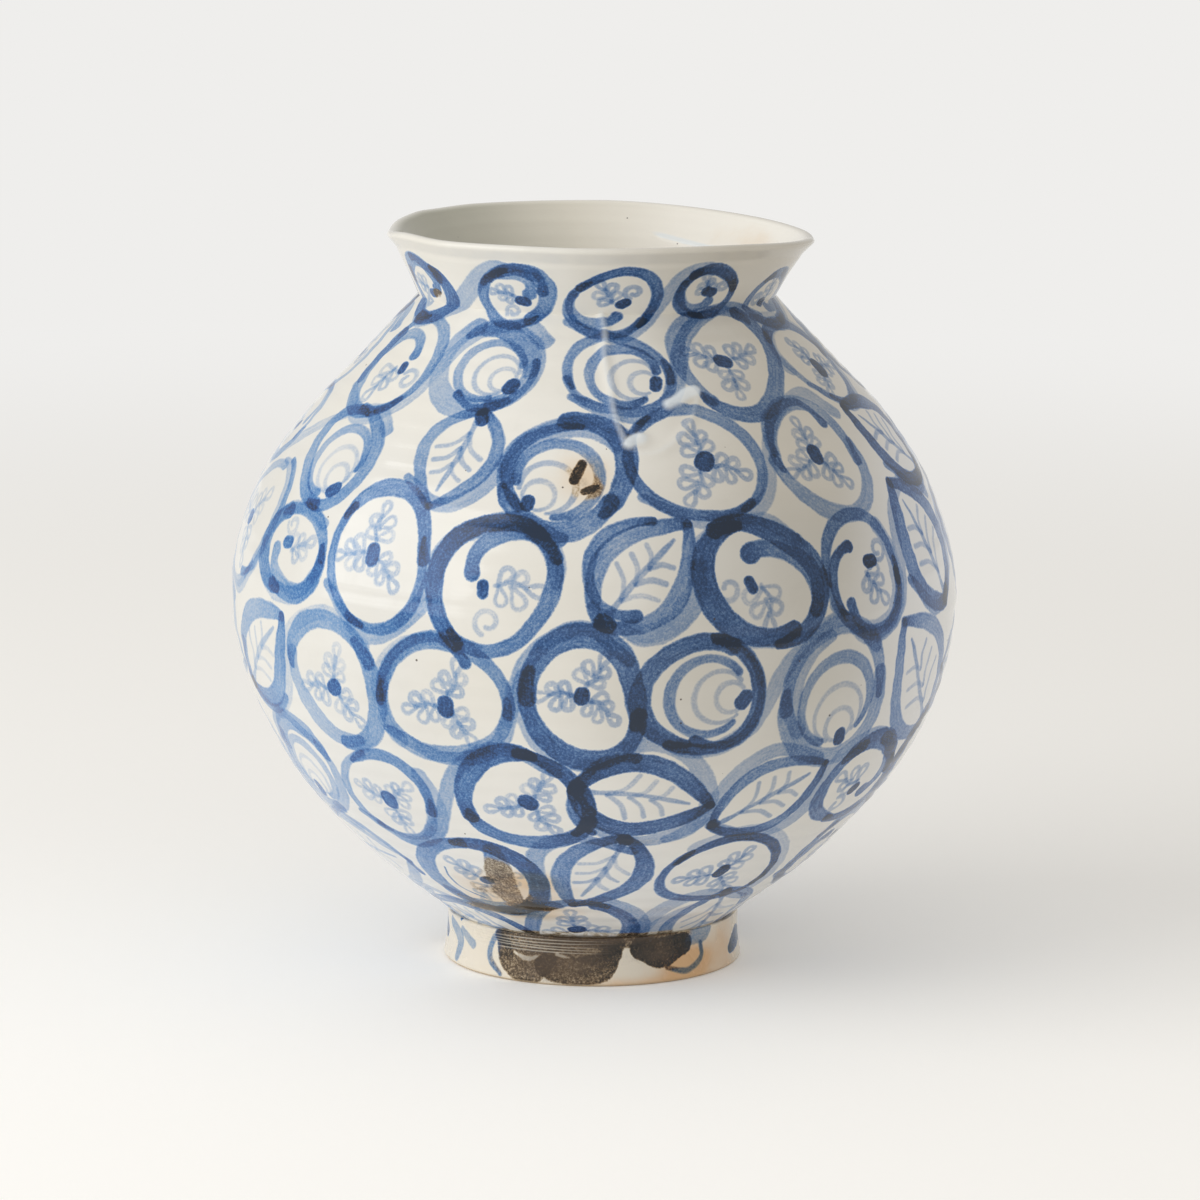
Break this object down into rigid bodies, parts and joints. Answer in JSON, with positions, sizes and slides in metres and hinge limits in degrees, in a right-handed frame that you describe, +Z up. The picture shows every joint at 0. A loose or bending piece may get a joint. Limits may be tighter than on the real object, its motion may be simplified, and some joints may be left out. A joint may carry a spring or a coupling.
{
  "type": "korean moon jar",
  "caption": "Large round porcelain moon jar with brushed cobalt decoration, a flared mouth collar and a high foot ring",
  "frame": {"origin": "on the surface that the jar stands on, at the centre of the foot ring", "axes": "+Z up along the jar's axis, the longest extent; -Y towards the side that is pictured; +X to its right, where the mouth collar sits a little off centre"},
  "size_m": [0.372, 0.372, 0.3812],
  "materials": {
    "painted_glaze": "glossy clear glaze over cobalt brushwork",
    "plain_glaze": "glossy clear glaze",
    "foot_glaze": "thin warm glaze, flushed orange"
  },
  "bodies": {
    "root": {"foot_ring": "foot_glaze", "lower_bowl": "painted_glaze", "belly_seam": "plain_glaze", "upper_bowl": "painted_glaze", "mouth_collar": "painted_glaze"}
  },
  "joints": []
}
